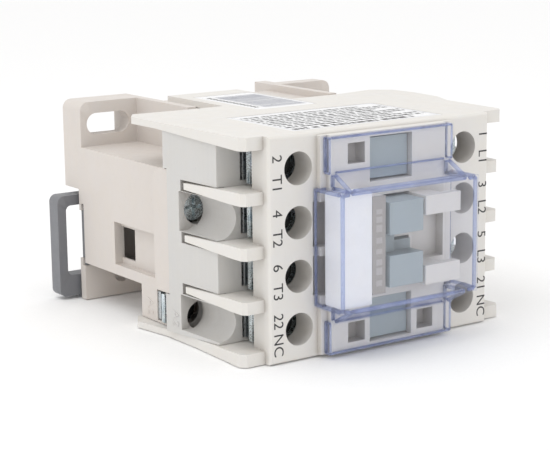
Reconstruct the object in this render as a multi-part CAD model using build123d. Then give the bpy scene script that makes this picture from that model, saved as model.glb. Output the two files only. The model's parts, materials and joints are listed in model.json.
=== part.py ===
from build123d import *
import os

# Small three-pole contactor with one extra contact, lying on its side.
# +Z is the contactor's left-hand side, -Y its front, -X its load terminals (T)
# and +X its line terminals (L). Everything below is in millimetres. The shapes
# are drawn with y = 0 on the terminal deck and moved to the row frame at export.

# Overall size
WIDTH = 45.0  # standard body width of this frame size
MID_Z = WIDTH / 2
FRONT_Y = -9.3  # front of the clear cover
REAR_Y = 77.0  # rear plane of the fixing feet
LOAD_END_X = -36.0  # grip of the rail clip
LINE_END_X = 37.8  # line side of the base

# Terminal deck and poles
POLE_PITCH = 10.66
FIRST_POLE_Z = 38.33
POLE_Z = [FIRST_POLE_Z - POLE_PITCH * n for n in range(4)]
NC_POLE = 3  # the fourth pole is normally closed
DECK_HALF = 27.9
DECK_DEPTH = 5.7
DECK_EDGE_R = 0.8
SCREW_X = 20.95
ACCESS_R = 3.3

# Raised centre of the front
CENTRE_X = (-15.0, 14.3)
CENTRE_Y = -2.4
RAIL_HALF = 16.6
RAIL_Y = -1.2
WINDOW_HALF = 5.35
WINDOW_Z = 9.0
WINDOW_INSET = 1.7
HOOK_GATE_HALF = 4.9
HOOK_GATE_Z = (13.2, 31.4)
TOWER_Y = -8.0

# Labels, as (low, high) pairs in X and in Y
RATING_LABEL = ((-19.5, 18.5), (3.6, 27.6))
SERIAL_LABEL = ((-6.7, 8.9), (34.4, 60.6))
LABEL_T = 0.12
LABEL_RECESS = 0.15

# Name strip in front of the raised centre
NAME_STRIP_X = (-8.7, -5.2)
NAME_STRIP_Y = (-7.4, -6.6)
NAME_STRIP_Z = (12.8, 32.3)

# Side plates and barrier ribs of the front housing
PLATE_FRONT_T = 2.6
PLATE_REAR_T = 1.4
PLATE_TAPER_Y = (4.0, 32.0)
TONGUE_HALF = 9.5
TONGUE_END_Y = 67.0
RIB_FRONT_Y = 1.8
RIB_END_Y = 22.4
RIB_FRONT_T = 2.5
RIB_REAR_T = 1.3
RIB_INNER_X = 12.0

# Contact housing
LEDGE_Y = 11.5
CONTACT_REAR_Y = 30.0
CHAMBER_HALF_X = 15.6
CHAMBER_HALF_Z = 3.7
CHAMBER_Y = 18.25
NC_CHAMBER_Y = 27.0
CHANNEL_HALF = 4.3
GROOVE_X = 32.0
GROOVE_R = 4.1
GROOVE_END_Y = 24.6
SIDE_SCREW_X = 28.5
SIDE_SCREW_Z = POLE_Z[1]
COIL_SCREW_Z = 5.2
COIL_GROOVE_Z = 6.6
SCREW_WELL_R = 3.3
SCREW_WELL_Y = 28.6

# Base
BASE_LOAD_X = -31.2
BASE_FRONT_Y = 30.2
RAIL_SEAT_Y = 70.7
RAIL_CENTRE_X = 3.3
RAIL_HALF_WIDTH = 17.5
RAIL_FLANGE_GAP = 1.2
FOOT_FRONT_Y = 68.8
FOOT_PLATE_T = 3.5
FOOT_CORNER_R = 2.0
UPPER_FLOOR_Z = 35.0
LOWER_FLOOR_Z = 8.65
INNER_WALLS_X = ((-16.7, -14.7), (21.3, 23.3))
FIXING_PITCH_Z = 35.0
SLOT_PITCH_X = 55.0
SLOT_LENGTH = 10.8
SLOT_WIDTH = 4.8
HOLE_PITCH_X = 50.0
HOLE_R = 2.1
COIL_BLOCK_Y = (37.2, 43.6)

# Rail clip in the back of the base
CLIP_WIDE_Z = (8.0, 22.0)
CLIP_NARROW_Z = (9.6, 20.4)
CLIP_WIDE_Y = (68.8, 69.7)
CLIP_POCKET_X = (-30.0, -18.9)
CLIP_GRIP_X = -26.4
CLIP_BAR = 0.9

# Magnet and motion
STROKE = 5.0
CONTACT_GAP = 3.5
STACK_Z = (16.5, 28.5)
CORE_HALF = 18.0
LEG_INNER_X = 12.8
CENTRE_LEG_HALF = 3.6
POLE_FACE_Y = 44.0
CORE_BACK_Y = 66.7
ARMATURE_FRONT_Y = 31.5
ARMATURE_BAR_T = 4.5
ARMATURE_FACE_Y = POLE_FACE_Y - STROKE - 0.05

RING_SLOT = (14.2, 15.2)
RING_DEPTH = 1.6

# Current path
STRIP_T = 1.2
STRIP_Y = 10.9
STRIP_HALF_Z = 3.2
STRIP_OUTER_X = 26.5
STRIP_LEG_X = 15.5
STRIP_FOOT_Y = 17.0
STRIP_FOOT_X = 7.6
TIP_X = 9.6
TIP_R = 2.1
TIP_T = 1.0
BRIDGE_HALF = 12.2
BRIDGE_HALF_Z = 2.4
BRIDGE_T = 1.2
FIT = 0.1  # clearance round parts that are dropped into pockets

SHIFT = (-(LOAD_END_X + LINE_END_X) / 2, -(FRONT_Y + REAR_Y) / 2, 0)


def block(x, y, z):
    """A box between two corners, given as (low, high) pairs."""
    size = Box(x[1] - x[0], y[1] - y[0], z[1] - z[0])
    return Pos((x[0] + x[1]) / 2, (y[0] + y[1]) / 2, (z[0] + z[1]) / 2) * size


def rod_y(x, y, z, radius):
    rod = Rot(90, 0, 0) * Cylinder(radius, y[1] - y[0])
    return Pos(x, (y[0] + y[1]) / 2, z) * rod


def rod_z(x, y, z, radius):
    return Pos(x, y, (z[0] + z[1]) / 2) * Cylinder(radius, z[1] - z[0])


def prism_z(points, z):
    """An outline in X and Y, raised from the lower to the higher z."""
    return extrude(Pos(0, 0, z[0]) * make_face(Polyline(*points, close=True)), z[1] - z[0])


def prism_x(points, x):
    """An outline in Y and Z, carried from the lower to the higher x."""
    plane = Plane(origin=(x[0], 0, 0), x_dir=(0, 1, 0), z_dir=(1, 0, 0))
    return extrude(plane * make_face(Polyline(*points, close=True)), x[1] - x[0])


def slot_y(x, y, z, length, width):
    """A round-ended slot along X that goes through in Y."""
    reach = (length - width) / 2
    body = block((x - reach, x + reach), y, (z - width / 2, z + width / 2))
    return body + [rod_y(x + side * reach, y, z, width / 2) for side in (-1, 1)]


def half_turn(shape):
    """The same shape on the other side of the pole axis, as the load and line sides are."""
    return Pos(0, 0, MID_Z) * (Rot(0, 180, 0) * (Pos(0, 0, -MID_Z) * shape))


def coil_spring(radius, wire_r, length, turns):
    """A round-wire spring along +Z from 0 to its length, both ends closed up."""
    rise = length - 2 * wire_r
    path = Pos(0, 0, wire_r) * Helix(pitch=rise / turns, height=rise, radius=radius)
    section = Plane(path @ 0, z_dir=path % 0) * Circle(wire_r)
    return sweep(section, path=path, is_frenet=True)


def plate_thickness(y):
    low, high = PLATE_TAPER_Y
    share = min(max((y - low) / (high - low), 0.0), 1.0)
    return PLATE_FRONT_T + (PLATE_REAR_T - PLATE_FRONT_T) * share


# Front housing


def plate_outline(load_edge, rear_edge):
    line_edge = [(33.0, 46.5), (37.0, 43.0), (37.7, 36.0), (36.9, 27.0)]
    line_edge += [(34.3, 20.5), (33.7, 3.2), (32.6, 1.8)]
    front = [(DECK_HALF, 1.8), (DECK_HALF, DECK_EDGE_R), (-DECK_HALF, DECK_EDGE_R), (-DECK_HALF, 1.8)]
    return front + load_edge + rear_edge + line_edge


def side_plate(outline, outer_z):
    """A side wall of the housing that thins from front to rear on its inner face."""
    inward = 1 if outer_z == 0 else -1
    low, high = PLATE_TAPER_Y
    profile = [(DECK_EDGE_R, outer_z), (DECK_EDGE_R, outer_z + inward * PLATE_FRONT_T)]
    profile += [(low, outer_z + inward * PLATE_FRONT_T), (high, outer_z + inward * PLATE_REAR_T)]
    profile += [(TONGUE_END_Y, outer_z + inward * PLATE_REAR_T), (TONGUE_END_Y, outer_z)]
    levels = sorted((outer_z, outer_z + inward * 3))
    return prism_z(outline, levels) & prism_x(profile, (-40, 40))


def barrier_rib(z):
    """The insulating wall between two poles: outside fins and the inside partition."""
    outline = [
        (DECK_HALF - 0.2, RIB_FRONT_Y),
        (31.9, RIB_FRONT_Y),
        (32.7, RIB_FRONT_Y + 0.9),
        (33.15, RIB_END_Y),
        (30.8, RIB_END_Y),
        (30.8, LEDGE_Y - FIT),
        (RIB_INNER_X, LEDGE_Y - FIT),
        (RIB_INNER_X, DECK_DEPTH - 0.2),
        (DECK_HALF - 0.2, DECK_DEPTH - 0.2),
    ]
    thick, thin = RIB_FRONT_T / 2, RIB_REAR_T / 2
    profile = [(0, z - thick), (6, z - thick), (RIB_END_Y, z - thin)]
    profile += [(RIB_END_Y, z + thin), (6, z + thick), (0, z + thick)]
    fin = prism_z(outline, (z - thick, z + thick)) & prism_x(profile, (0, 40))
    return fin + mirror(fin, about=Plane.YZ)


def guide_hook(z):
    """An L-shaped hook that an add-on block would slide under."""
    stem = block((4.4, 9.4), (TOWER_Y, CENTRE_Y), z)
    return stem + block((4.4, 13.4), (TOWER_Y, TOWER_Y + 1.8), z)


def raised_centre():
    body = block(CENTRE_X, (CENTRE_Y, 0.5), (0.6, WIDTH - 0.6))
    rims = body.edges().filter_by(Axis.Z).group_by(Axis.Y)[0]
    body = fillet(rims, 0.6)
    body += block((-RAIL_HALF, RAIL_HALF), (RAIL_Y, 0.5), (0.6, WIDTH - 0.6))
    body += guide_hook((27.3, 31.2))
    body += guide_hook((13.1, 17.0))
    body += block(NAME_STRIP_X, (NAME_STRIP_Y[1], CENTRE_Y), NAME_STRIP_Z)
    return body


def front_openings():
    """Windows, gate, pockets and the rear pocket that the contact carrier works in."""
    cuts = []
    for low in (WINDOW_INSET, WIDTH - WINDOW_INSET - WINDOW_Z):
        cuts.append(block((-WINDOW_HALF, WINDOW_HALF), (CENTRE_Y - 1, 8.6), (low, low + WINDOW_Z)))
    gate = block((-HOOK_GATE_HALF, 4.6), (CENTRE_Y - 1, 8), HOOK_GATE_Z)
    gate -= block((-0.5, 4.6), (CENTRE_Y - 1, 0.4), (22.4, 24.1))
    cuts.append(gate)
    cuts.append(block((5.4, 13.6), (CENTRE_Y - 1, -0.2), (17.0, 27.3)))
    cuts.append(block((-4.4, 4.4), (2.4, 8.6), (2.6, WIDTH - 2.6)))
    for x, z in ((-10.8, 38.4), (-10.8, 2.4), (6.8, 2.4)):
        cuts.append(block((x, x + 4.2), (CENTRE_Y - 1, 0.6), (z, z + 4.1)))
    for z in ((12.6, 20.6), (22.4, 31.4)):
        cuts.append(block((-RAIL_HALF - 1, -13.6), (-1.9, 1.6), z))
    return cuts


def front_housing():
    deck = block((-DECK_HALF, DECK_HALF), (0, DECK_DEPTH), (0, WIDTH))
    deck = fillet(deck.faces().sort_by(Axis.Y)[0].edges(), DECK_EDGE_R)
    load_edge = [(-31.7, 1.8), (-32.7, 3.0), (-33.9, 41.3), (-31.6, 44.8)]
    tongue = [(-15.5, 43.8), (-TONGUE_HALF, 43.8), (-TONGUE_HALF, TONGUE_END_Y), (TONGUE_HALF, TONGUE_END_Y)]
    tongue += [(TONGUE_HALF, 44.5), (22.0, 44.5)]
    lower_edge = [(-32.2, 1.8), (-33.3, 3.0), (-32.5, 20.0), (-32.5, 31.0), (-34.0, 40.8), (-31.6, 44.8)]
    housing = deck + side_plate(plate_outline(load_edge, tongue), WIDTH)
    housing += side_plate(plate_outline(lower_edge, [(22.0, 44.5)]), 0)
    for upper, lower in zip(POLE_Z, POLE_Z[1:]):
        housing += barrier_rib((upper + lower) / 2)
    housing += raised_centre()
    for cut in front_openings():
        housing -= cut
    for z in POLE_Z:
        for x in (-SCREW_X, SCREW_X):
            housing -= rod_y(x, (-1, DECK_DEPTH + 1), z, ACCESS_R)
    housing -= label_recess(RATING_LABEL)
    return housing - label_recess(SERIAL_LABEL)


# Labels lie in shallow recesses of the left-hand side plate.


def label_recess(area):
    return block(area[0], area[1], (WIDTH - LABEL_RECESS, WIDTH + 1))


def label(area):
    (x0, x1), (y0, y1) = area
    floor = WIDTH - LABEL_RECESS
    return block((x0 + FIT, x1 - FIT), (y0 + FIT, y1 - FIT), (floor, floor + LABEL_T))


def name_strip():
    strip = block(NAME_STRIP_X, NAME_STRIP_Y, NAME_STRIP_Z)
    return fillet(strip.edges().filter_by(Axis.Z).group_by(Axis.Y)[0], 0.3)


def marker_plate():
    plate = block((-16.4, -8.8), (-7.8, CENTRE_Y), (11.1, 33.4))
    return fillet(plate.edges().filter_by(Axis.Z).group_by(Axis.Y)[0], 0.5)


def transparent_cover():
    """Flat flanges over both carrier windows and a bulged box over the hooks."""
    wall = 0.9
    low, high = 10.3, 34.2
    flange_y = (CENTRE_Y - wall - FIT, CENTRE_Y - FIT)
    flange_x = (CENTRE_X[0] - 2 * FIT, CENTRE_X[1] + 2 * FIT)
    ramp_low, ramp_high = 7.0, 37.4
    outer = [(flange_y[0], ramp_low), (FRONT_Y, low), (FRONT_Y, high), (flange_y[0], ramp_high)]
    outer += [(0.0 - FIT, ramp_high), (0.0 - FIT, ramp_low)]
    centre = prism_x(outer, flange_x)
    box = block((-17.5, 17.5), (FRONT_Y, -FIT), (low, high))
    box = fillet(box.edges().filter_by(Axis.Z).group_by(Axis.Y)[0], 0.8)
    shell = centre + box
    inner = [(flange_y[1], ramp_low + 0.4), (FRONT_Y + wall, low + wall), (FRONT_Y + wall, high - wall)]
    inner += [(flange_y[1], ramp_high - 0.4), (1.0, ramp_high - 0.4), (1.0, ramp_low + 0.4)]
    shell -= prism_x(inner, (flange_x[0] + wall, flange_x[1] - wall))
    shell -= block((-16.8, 16.8), (FRONT_Y + wall, 1), (low + 0.6, high - 0.6))
    shell -= block((CENTRE_X[0] - 0.3, CENTRE_X[1] + 0.3), (flange_y[1], 1), (0, WIDTH))
    shell -= block((-16.8, 16.8), (RAIL_Y - FIT, 1), (0, WIDTH))
    legs = [(flange_x[0] - 0.8, flange_x[0] + 0.05), (flange_x[1] - 0.05, flange_x[1] + 0.8)]
    for z in ((0.8, ramp_low + 0.5), (ramp_high - 0.5, WIDTH - 0.8)):
        shell += block(flange_x, flange_y, z)
        shell += [block(leg, (flange_y[0], RAIL_Y - FIT), z) for leg in legs]
    return shell


# Contact housing


def contact_body():
    outline = [(-32.3, LEDGE_Y), (33.2, LEDGE_Y), (34.1, CONTACT_REAR_Y), (-33.3, CONTACT_REAR_Y)]
    low_front = plate_thickness(LEDGE_Y) + FIT
    low_rear = plate_thickness(CONTACT_REAR_Y) + FIT
    profile = [(LEDGE_Y, low_front), (CONTACT_REAR_Y, low_rear), (CONTACT_REAR_Y, WIDTH - low_rear)]
    profile.append((LEDGE_Y, WIDTH - low_front))
    return prism_z(outline, (0, WIDTH)) & prism_x(profile, (-40, 40))


def pole_cuts(number, z):
    """The arc chamber of one pole with the two strip seats and screw wells."""
    reach = (z - CHAMBER_HALF_Z, z + CHAMBER_HALF_Z)
    cuts = [block((-CHAMBER_HALF_X, CHAMBER_HALF_X), (LEDGE_Y - 1, CHAMBER_Y), reach)]
    if number == NC_POLE:
        cuts.append(block((-12.6, 12.6), (LEDGE_Y, NC_CHAMBER_Y), reach))
    for side in (-1, 1):
        seat_x = sorted((side * CHAMBER_HALF_X, side * (STRIP_OUTER_X + 0.3)))
        seat_z = (z - STRIP_HALF_Z - FIT, z + STRIP_HALF_Z + FIT)
        cuts.append(block(seat_x, (LEDGE_Y - 1, STRIP_Y + STRIP_T), seat_z))
        cuts.append(rod_y(side * SCREW_X, (LEDGE_Y, 17.5), z, 2.2))
    return cuts


def side_groove(z, deep):
    """A half-round channel down the load side that leads a screwdriver to a side screw."""
    radius = GROOVE_R if deep else GROOVE_R - 0.4
    groove = rod_y(-GROOVE_X, (LEDGE_Y - 1, GROOVE_END_Y), z, radius)
    mouth = (z - radius, z + radius)
    return groove + block((-GROOVE_X - 3, -GROOVE_X), (LEDGE_Y - 1, GROOVE_END_Y), mouth)


def contact_housing():
    housing = contact_body()
    for number, z in enumerate(POLE_Z):
        for cut in pole_cuts(number, z):
            housing -= cut
    housing -= block((-CHANNEL_HALF, CHANNEL_HALF), (LEDGE_Y - 1, CONTACT_REAR_Y + 1), (2.7, WIDTH - 2.7))
    for upper, lower in zip(POLE_Z, POLE_Z[1:]):
        middle = (upper + lower) / 2
        slot = block((30.6, 36), (LEDGE_Y - 1, RIB_END_Y + 1.5), (middle - 1.15, middle + 1.15))
        housing -= slot
        housing -= mirror(slot, about=Plane.YZ)
    main_groove = side_groove(SIDE_SCREW_Z, True)
    main_groove += rod_y(-SIDE_SCREW_X, (GROOVE_END_Y - 1, SCREW_WELL_Y), SIDE_SCREW_Z, SCREW_WELL_R)
    main_groove += rod_y(-SIDE_SCREW_X, (27.0, 31), SIDE_SCREW_Z, 1.65)
    coil_groove = side_groove(COIL_GROOVE_Z, False)
    coil_groove += rod_y(-SIDE_SCREW_X, (GROOVE_END_Y - 1, 31), COIL_SCREW_Z, 3.1)
    housing -= main_groove
    housing -= coil_groove
    housing -= half_turn(main_groove)
    housing -= half_turn(coil_groove)
    return housing - block((-36, -30.9), (28.7, 31), (9.5, 35.8))


# Base


def base_shell():
    """The magnet box: full height between the inner walls, lower at its four corners."""
    wide = (BASE_LOAD_X, LINE_END_X)
    shell = block(wide, (BASE_FRONT_Y, RAIL_SEAT_Y), (LOWER_FLOOR_Z, UPPER_FLOOR_Z))
    middle = (INNER_WALLS_X[0][0], INNER_WALLS_X[1][1])
    shell += block(middle, (BASE_FRONT_Y, RAIL_SEAT_Y), (1.55, WIDTH - 1.55))
    shell += [block(x, (46.6, REAR_Y), (0, WIDTH)) for x in INNER_WALLS_X]
    shell += block((BASE_LOAD_X, -14.0), (31.0, COIL_BLOCK_Y[1]), (PLATE_REAR_T + 0.15, 2.0))
    block_z = (PLATE_REAR_T + 0.15, LOWER_FLOOR_Z + 0.1)
    shell += block((BASE_LOAD_X, -16.0), COIL_BLOCK_Y, block_z)
    shell += block((22.0, LINE_END_X - 1.0), COIL_BLOCK_Y, (WIDTH - block_z[1], WIDTH - block_z[0]))
    return shell


def foot_plates():
    """Four fixing feet behind the corner recesses."""
    load_x = (BASE_LOAD_X, INNER_WALLS_X[0][1])
    line_x = (INNER_WALLS_X[1][0], LINE_END_X)
    thin = 2.1
    upper_foot = block(load_x, (FOOT_FRONT_Y, REAR_Y), (25.3, WIDTH))
    outer_top = upper_foot.edges().filter_by(Axis.Y).group_by(Axis.X)[0].sort_by(Axis.Z)[-1:]
    feet = fillet(outer_top, FOOT_CORNER_R)
    line_foot = block(line_x, (FOOT_FRONT_Y, 73.0), (25.3, WIDTH))
    outer_top = line_foot.edges().filter_by(Axis.Y).group_by(Axis.X)[-1].sort_by(Axis.Z)[-1:]
    feet += fillet(outer_top, FOOT_CORNER_R)
    feet += block((line_x[0], 24.5), (FOOT_FRONT_Y, REAR_Y), (25.3, WIDTH))
    feet += block(load_x, (FOOT_FRONT_Y, FOOT_FRONT_Y + thin), (0, LOWER_FLOOR_Z + 1))
    feet += block(line_x, (FOOT_FRONT_Y, FOOT_FRONT_Y + thin), (0, LOWER_FLOOR_Z + 1))
    return feet


def fixing_points():
    low_z = MID_Z - FIXING_PITCH_Z / 2
    high_z = MID_Z + FIXING_PITCH_Z / 2
    holes = [(RAIL_CENTRE_X + side * HOLE_PITCH_X / 2, low_z) for side in (-1, 1)]
    slots = [(RAIL_CENTRE_X + side * SLOT_PITCH_X / 2, high_z) for side in (-1, 1)]
    return holes, slots


def fixing_features(base):
    holes, slots = fixing_points()
    for x, z in holes:
        base += rod_y(x, (FOOT_FRONT_Y, REAR_Y), z, HOLE_R + 2.3)
    for x, z in holes:
        base -= rod_y(x, (FOOT_FRONT_Y - 1, REAR_Y + 1), z, HOLE_R)
    for x, z in slots:
        behind = (FOOT_FRONT_Y + FOOT_PLATE_T, REAR_Y + 1)
        reach = SLOT_LENGTH / 2 + 0.8
        base -= block((x - reach, x + reach), behind, (z - 3.2, z + 3.2))
        base -= slot_y(x, (FOOT_FRONT_Y - 1, REAR_Y), z, SLOT_LENGTH, SLOT_WIDTH)
    return base


def magnet_cavity():
    """Room for the magnet, the coil wings, the connectors and the moving armature."""
    cavity = block((-CORE_HALF - 0.2, CORE_HALF + 0.2), (BASE_FRONT_Y - 1, 68.2), (10.9, 32.9))
    cavity += block((BASE_LOAD_X + 2.4, LINE_END_X - 2.4), (BASE_FRONT_Y - 1, 60.0), (10.9, 32.9))
    cavity += block((-11.5, 11.5), (BASE_FRONT_Y - 1, 60.0), (3.5, WIDTH - 3.5))
    return cavity + block((-4.6, 4.6), (BASE_FRONT_Y - 1, 36.0), (2.6, WIDTH - 2.6))


def screw_posts():
    """Posts that the two housing screws bite into, each tied to the nearest wall."""
    post = rod_y(-SIDE_SCREW_X, (BASE_FRONT_Y, 44.0), SIDE_SCREW_Z, 3.4)
    post &= block((BASE_LOAD_X, 0), (0, 60), (0, WIDTH))
    line_z = WIDTH - SIDE_SCREW_Z
    web = block((SIDE_SCREW_X, LINE_END_X - 1), (BASE_FRONT_Y, 44.0), (line_z - 1.5, line_z + 1.5))
    return post + half_turn(rod_y(-SIDE_SCREW_X, (BASE_FRONT_Y, 44.0), SIDE_SCREW_Z, 3.4)) + web


def side_window():
    """A shallow recess in the load side with a slot into the magnet cavity."""
    recess = block((BASE_LOAD_X - 1, BASE_LOAD_X + 1.8), (37.0, 54.8), (10.9, 20.4))
    return recess + block((BASE_LOAD_X, BASE_LOAD_X + 3), (49.0, 54.8), (12.2, 19.2))


def latch_pad():
    """A rounded tongue on the load side that lies over the rear of the contact housing."""
    pad = block((-33.1, BASE_LOAD_X + 0.1), (28.85, 34.6), (9.7, 35.6))
    rear_top = pad.edges().filter_by(Axis.X).group_by(Axis.Y)[-1].sort_by(Axis.Z)[-1:]
    return fillet(rear_top, 3.0)


def rail_hooks():
    """Two fixed hooks that reach behind the line-side flange of the rail."""
    edge = RAIL_CENTRE_X + RAIL_HALF_WIDTH + 0.2
    hooks = []
    for z in ((8.0, 18.0), (27.0, 37.0)):
        hooks.append(block((edge, edge + 1.0), (RAIL_SEAT_Y - 0.5, 74.4), z))
        hooks.append(block((edge - 2.7, edge + 0.1), (RAIL_SEAT_Y + RAIL_FLANGE_GAP, 74.4), z))
    return hooks


def clip_guide():
    """The T-shaped slot in the back of the base, and the pocket for the clip spring."""
    wide_z = (CLIP_WIDE_Z[0] - FIT, CLIP_WIDE_Z[1] + FIT)
    narrow_z = (CLIP_NARROW_Z[0] - FIT, CLIP_NARROW_Z[1] + FIT)
    guide = block((BASE_LOAD_X - 1, -10.9), (CLIP_WIDE_Y[0] - FIT, CLIP_WIDE_Y[1] + FIT), wide_z)
    guide += block((BASE_LOAD_X - 1, -10.9), (CLIP_WIDE_Y[1], RAIL_SEAT_Y + 1), narrow_z)
    guide += block((-18.0, -14.0), (CLIP_WIDE_Y[1], REAR_Y + 1), narrow_z)
    return guide + block(CLIP_POCKET_X, (65.0, 69.0), (12.3, 17.7))


def coil_terminal_slot():
    slot = block((-26.7, -23.7), (35.8, 37.3), (1.0, 13.0))
    return slot + rod_y(-SIDE_SCREW_X, (COIL_BLOCK_Y[0] - 1, 42.6), COIL_SCREW_Z, 1.9)


def base_housing():
    base = base_shell() + foot_plates()
    base = fixing_features(base)
    base -= magnet_cavity()
    base += screw_posts()
    base += latch_pad()
    base += rail_hooks()
    pilot = rod_y(-SIDE_SCREW_X, (BASE_FRONT_Y - 1, 42.6), SIDE_SCREW_Z, 1.5)
    for cut in (pilot, coil_terminal_slot()):
        base -= cut
        base -= half_turn(cut)
    base -= side_window()
    return base - clip_guide()


def din_clip():
    """Spring-loaded grey clip: guide tongue, nose behind the rail and finger grip."""
    clip = block((-30.8, -12.4), CLIP_WIDE_Y, CLIP_WIDE_Z)
    clip += block((-30.8, -12.4), (CLIP_WIDE_Y[1] - 0.1, 70.5), CLIP_NARROW_Z)
    clip += block((-17.4, -14.4), (70.0, 74.4), CLIP_NARROW_Z)
    clip += block((-17.4, -11.7), (RAIL_SEAT_Y + RAIL_FLANGE_GAP, 74.4), CLIP_NARROW_Z)
    clip += block((CLIP_GRIP_X - CLIP_BAR, -23.6), (70.0, 76.0), CLIP_NARROW_Z)
    clip += block((CLIP_POCKET_X[1] - 1.6, CLIP_POCKET_X[1] - FIT), (65.1, 69.0), (12.5, 17.5))
    grip = block((LOAD_END_X, CLIP_GRIP_X), (72.0, 76.0), (0.6, 23.8))
    grip = fillet(grip.edges().filter_by(Axis.Y).group_by(Axis.X)[0], 1.6)
    opening = block((-33.9, CLIP_GRIP_X - CLIP_BAR), (71, 77), (5.4, 21.5))
    grip -= fillet(opening.edges().filter_by(Axis.Y).group_by(Axis.X)[0], 1.2)
    catch = prism_x([(72.0, 0.7), (72.0, 0.05), (74.2, 0.7)], (-31.0, CLIP_GRIP_X))
    return clip + grip + catch


def din_clip_spring():
    length = CLIP_POCKET_X[1] - CLIP_POCKET_X[0] - 1.6 - 2 * FIT
    spring = Rot(0, 90, 0) * coil_spring(1.45, 0.25, length, 7)
    return Pos(CLIP_POCKET_X[0] + FIT, 66.9, 15.0) * spring


# Magnet


def laminated_core(back, face, centre_short):
    """An E-shaped iron stack whose legs run from its back bar to the pole faces."""
    side = 1 if face > back[1] else -1
    legs = sorted((face, back[1] if side > 0 else back[0]))
    core = block((-CORE_HALF, CORE_HALF), back, STACK_Z)
    for x in ((-CORE_HALF, -LEG_INNER_X), (LEG_INNER_X, CORE_HALF)):
        core += block(x, legs, STACK_Z)
    centre = sorted((face - side * centre_short, back[1] if side > 0 else back[0]))
    return core + block((-CENTRE_LEG_HALF, CENTRE_LEG_HALF), centre, STACK_Z)


def fixed_core():
    core = laminated_core((CORE_BACK_Y - 6.0, CORE_BACK_Y), POLE_FACE_Y, 0.1)
    for side in (-1, 1):
        slot_x = sorted((side * (RING_SLOT[0] - 0.02), side * (RING_SLOT[1] + 0.02)))
        core -= block(slot_x, (POLE_FACE_Y - 1, POLE_FACE_Y + RING_DEPTH), (STACK_Z[0] - 1, STACK_Z[1] + 1))
    return core


def shading_rings():
    """Short-circuit rings round two thirds of each outer pole face."""
    outer_x = (RING_SLOT[0], CORE_HALF + 1.05)
    y = (POLE_FACE_Y + 0.2, POLE_FACE_Y + RING_DEPTH - 0.05)
    ring = block(outer_x, y, (STACK_Z[0] - 1.05, STACK_Z[1] + 1.05))
    ring -= block((RING_SLOT[1], CORE_HALF + 0.05), (40, 50), (STACK_Z[0] - 0.05, STACK_Z[1] + 0.05))
    return Compound([ring, mirror(ring, about=Plane.YZ)])


def core_dampers():
    pads = [block((x - 4, x + 4), (CORE_BACK_Y, 68.2), (17.5, 27.5)) for x in (-12.0, 12.0)]
    return Compound(pads)


def armature():
    back = (ARMATURE_FRONT_Y, ARMATURE_FRONT_Y + ARMATURE_BAR_T)
    return laminated_core(back, ARMATURE_FACE_Y, 0.0) - rod_z(0, 33.7, (10, 35), 1.55)


def armature_pin():
    return rod_z(0, 33.7, (14.4, 30.6), 1.5)


BOBBIN_Y = (46.2, 60.2)
FLANGE_T = 1.2


def coil_bobbin():
    bobbin = block((-5.0, 5.0), BOBBIN_Y, (15.2, 29.8))
    for y in ((BOBBIN_Y[0], BOBBIN_Y[0] + FLANGE_T), (BOBBIN_Y[1] - FLANGE_T, BOBBIN_Y[1])):
        bobbin += block((-12.4, 12.4), y, (12.3, 32.7))
    hole = (STACK_Z[0] - 0.3, STACK_Z[1] + 0.3)
    return bobbin - block((-CENTRE_LEG_HALF - 0.3, CENTRE_LEG_HALF + 0.3), (40, 66), hole)


def coil_winding():
    y = (BOBBIN_Y[0] + FLANGE_T + 0.05, BOBBIN_Y[1] - FLANGE_T - 0.05)
    winding = block((-11.4, 11.4), y, (13.2, 31.8))
    winding = fillet(winding.edges().filter_by(Axis.Y), 3.0)
    return winding - block((-5.05, 5.05), (40, 66), (15.15, 29.85))


def return_springs():
    """Two springs that push the armature away from the coil."""
    start = ARMATURE_FRONT_Y + ARMATURE_BAR_T + 0.1
    length = BOBBIN_Y[0] - 0.1 - start
    spring = Rot(-90, 0, 0) * coil_spring(2.5, 0.3, length, 5)
    return Compound([Pos(x, start, MID_Z) * spring for x in (-8.2, 8.2)])


def coil_terminal():
    """Brass connector under the A2 clamp screw, with a tail that reaches the coil."""
    front = COIL_BLOCK_Y[0] - STRIP_T
    strip = block((-31.0, -23.9), (front, COIL_BLOCK_Y[0]), (2.2, 8.3))
    strip += block((-26.5, -23.9), (front, COIL_BLOCK_Y[0]), (8.0, 14.0))
    return strip - rod_y(-SIDE_SCREW_X, (30, 45), COIL_SCREW_Z, 1.75)


def coil_lead():
    start = Vector(-23.3, 36.6, 13.0)
    end = Vector(-12.0, BOBBIN_Y[0] - 0.4, 13.9)
    middle = (start + end) / 2
    plane = Plane(origin=middle, z_dir=end - start)
    return plane * Cylinder(0.45, (end - start).length)


def cross_recess(y, x, z, size):
    """The cross-shaped driver recess in the front of a screw head."""
    depth = (y - 0.1, y + 1.1)
    return [
        block((x - size, x + size), depth, (z - 0.35, z + 0.35)),
        block((x - 0.35, x + 0.35), depth, (z - size, z + size)),
    ]


def clamp_screw(x, z, head_y, head_r, shaft_r, end_y):
    head_t = 2.2
    head = rod_y(x, (head_y, head_y + head_t), z, head_r)
    head = fillet(head.edges().group_by(Axis.Y)[0], 0.5)
    screw = head + rod_y(x, (head_y + head_t - 0.1, end_y), z, shaft_r)
    for cut in cross_recess(head_y, x, z, head_r * 0.62):
        screw -= cut
    return screw


def clamp_washer(x, z, y, size_x, size_z):
    """Square pressure plate with a lip that keeps strands under it."""
    plate = block((x - size_x / 2, x + size_x / 2), (y, y + 1.2), (z - size_z / 2, z + size_z / 2))
    for offset in (-2.6, 2.6):
        plate -= block((x + offset - 0.3, x + offset + 0.3), (y + 0.9, y + 1.3), (z - 5, z + 5))
    return plate - rod_y(x, (y - 1, y + 3), z, 1.85)


HEAD_Y = 6.5
WASHER_Y = 8.7


def terminal_screws(side):
    return Compound([clamp_screw(side * SCREW_X, z, HEAD_Y, 3.0, 1.7, 16.8) for z in POLE_Z])


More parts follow.
